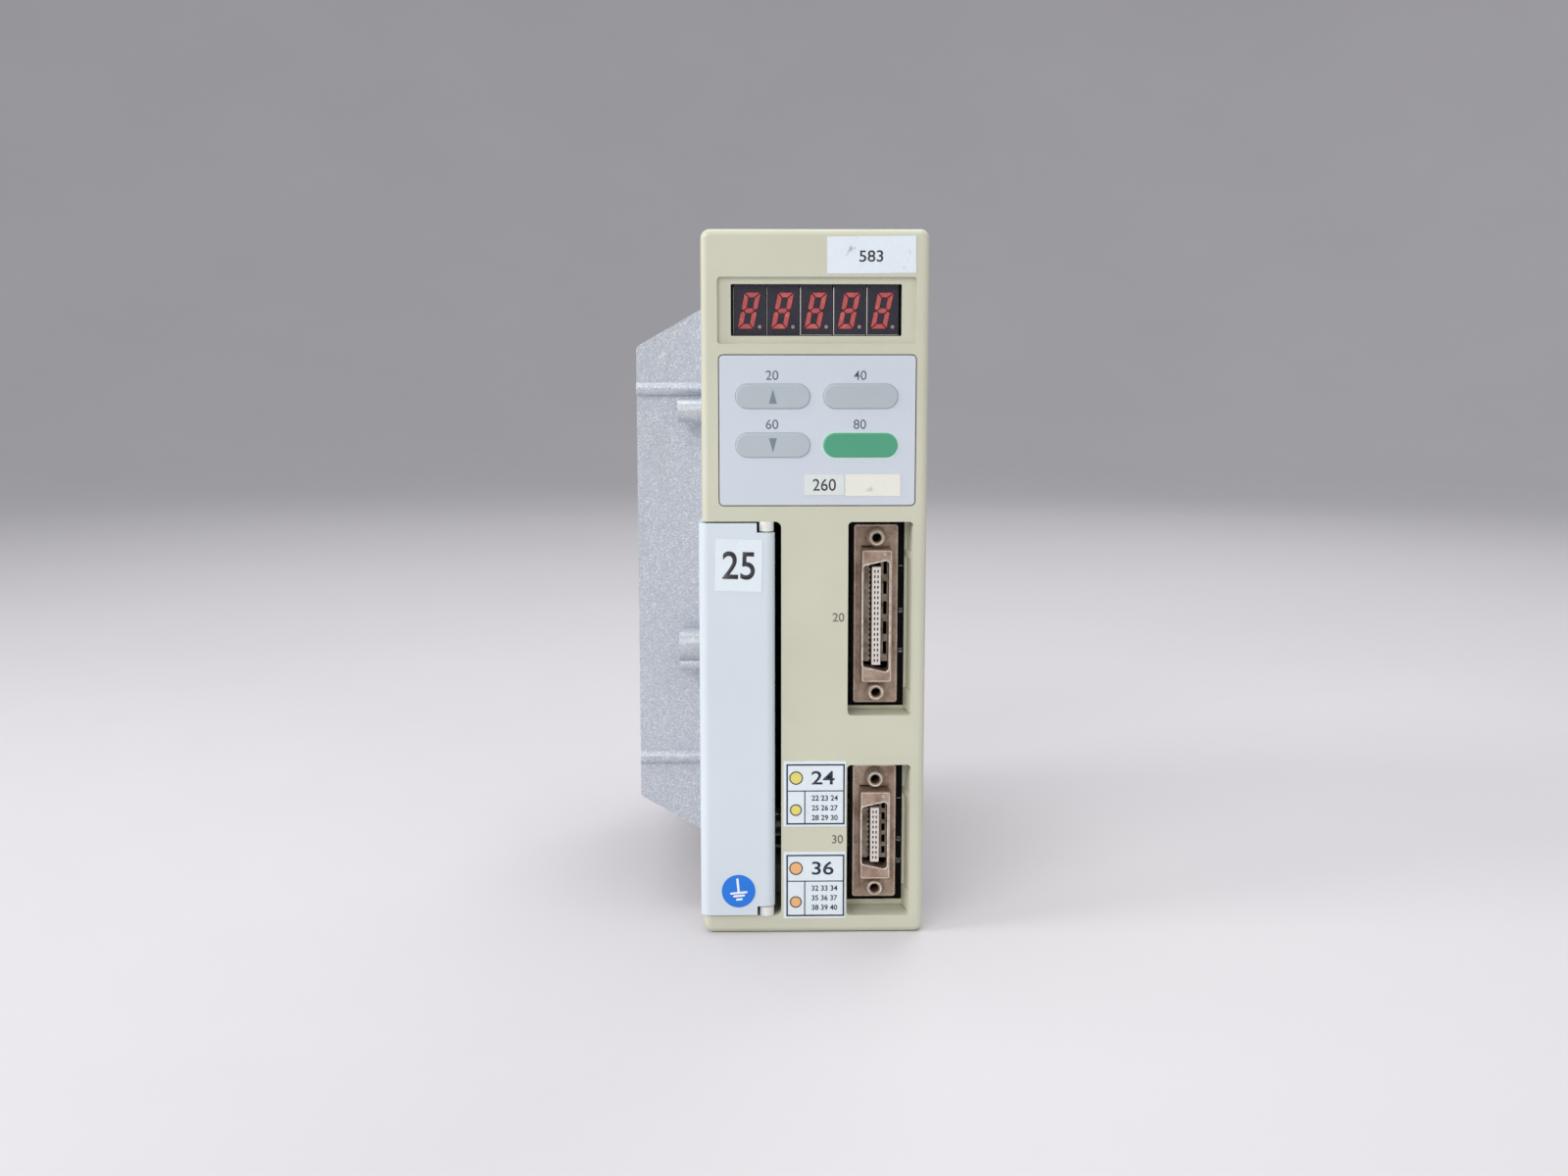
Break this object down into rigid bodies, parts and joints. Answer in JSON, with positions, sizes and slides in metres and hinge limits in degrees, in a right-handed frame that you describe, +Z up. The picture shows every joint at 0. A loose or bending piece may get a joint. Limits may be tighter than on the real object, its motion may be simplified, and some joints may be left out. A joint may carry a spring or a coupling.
{
  "type": "servo drive",
  "caption": "Upright servo drive with finned side heatsink, digit display, keypad, two cable connectors and a hinged terminal door.",
  "frame": {"origin": "on the surface the drive stands on, in the middle of its overall width and depth", "axes": "+Z up, +Y from the front cover to the mounting flange, +X to the right as seen from the front"},
  "size_m": [0.07, 0.1362, 0.168],
  "materials": {
    "cover_plastic": "fine moulded texture, aged warm ivory",
    "housing_plastic": "fine moulded texture, ivory",
    "door_plastic": "smooth moulded, pale blue-grey",
    "lug_plastic": "smooth moulded, off-white",
    "keypad_plastic": "satin printed panel, pale blue-grey",
    "key_grey": "satin rubbery key, grey",
    "key_green": "satin rubbery key, green",
    "cast_aluminium": "die-cast, grainy, unpainted",
    "led_body": "dark face with pale segments",
    "board_laminate": "solder mask over glass laminate",
    "black_moulding": "glass-filled moulding, black",
    "nickel_plate": "dull nickel plating, slightly brown",
    "white_moulding": "glass-filled moulding, white",
    "contact_metal": "plated contact",
    "screw_steel": "zinc plated",
    "pad_grey": "soft thermal pad",
    "capacitor_sleeve": "shrink sleeve",
    "ferrite": "taped winding",
    "resistor_body": "cement body",
    "relay_case": "moulded case",
    "ribbon_grey": "ribbon insulation",
    "label_white": "self-adhesive label",
    "label_cream": "self-adhesive label",
    "label_blue": "self-adhesive disc"
  },
  "bodies": {
    "case": {"front_cover": "cover_plastic", "rear_housing": "housing_plastic", "heatsink_chassis": "cast_aluminium", "housing_screws": "screw_steel", "keypad_panel": "keypad_plastic", "display_board": "board_laminate", "display_screws": "screw_steel", "key_switches": "black_moulding", "terminal_block": "black_moulding", "terminal_clamps": "nickel_plate", "terminal_screws": "screw_steel", "earth_bar": "nickel_plate", "earth_screws": "screw_steel", "hinge_lugs": "lug_plastic", "hinge_pins": "screw_steel", "control_board": "board_laminate", "power_board": "board_laminate", "board_spacers": "screw_steel", "board_screws": "screw_steel", "power_module": "black_moulding", "rectifier_bridge": "black_moulding", "thermal_pads": "pad_grey", "dc_capacitor_1": "capacitor_sleeve", "dc_capacitor_2": "capacitor_sleeve", "transformer": "ferrite", "relay": "relay_case", "braking_resistor": "resistor_body", "processor_chip": "black_moulding", "logic_chip": "black_moulding", "ribbon_headers": "black_moulding", "ribbon_cable": "ribbon_grey", "display_header": "black_moulding", "name_label": "label_white", "keypad_label_left": "label_white", "keypad_label_right": "label_cream", "front_label_upper": "label_white", "front_label_lower": "label_white", "led_digit_1": "led_body", "led_digit_2": "led_body", "led_digit_3": "led_body", "led_digit_4": "led_body", "led_digit_5": "led_body", "cn1_body": "black_moulding", "cn1_shell": "nickel_plate", "cn1_insert": "white_moulding", "cn1_contacts": "contact_metal", "cn1_jack_sockets": "nickel_plate", "cn2_body": "black_moulding", "cn2_shell": "nickel_plate", "cn2_insert": "white_moulding", "cn2_contacts": "contact_metal", "cn2_jack_sockets": "nickel_plate"},
    "door": {"terminal_door": "door_plastic", "door_number_label": "label_white", "earth_label": "label_blue"},
    "key_up": {"button_up": "key_grey"},
    "key_mode": {"button_mode": "key_grey"},
    "key_down": {"button_down": "key_grey"},
    "key_set": {"button_set": "key_green"}
  },
  "joints": [
    {"name": "door_hinge", "type": "hinge", "parent": "case", "child": "door", "pos_m": [-0.00285, -0.06594, 0], "axis": [0, 0, 1], "range_deg": [0, 110]},
    {"name": "key_up_press", "type": "slide", "parent": "case", "child": "key_up", "axis": [0, 1, 0], "range_m": [0, 0.0005], "stiffness_N_per_m": 1500},
    {"name": "key_mode_press", "type": "slide", "parent": "case", "child": "key_mode", "axis": [0, 1, 0], "range_m": [0, 0.0005], "stiffness_N_per_m": 1500},
    {"name": "key_down_press", "type": "slide", "parent": "case", "child": "key_down", "axis": [0, 1, 0], "range_m": [0, 0.0005], "stiffness_N_per_m": 1500},
    {"name": "key_set_press", "type": "slide", "parent": "case", "child": "key_set", "axis": [0, 1, 0], "range_m": [0, 0.0005], "stiffness_N_per_m": 1500}
  ]
}
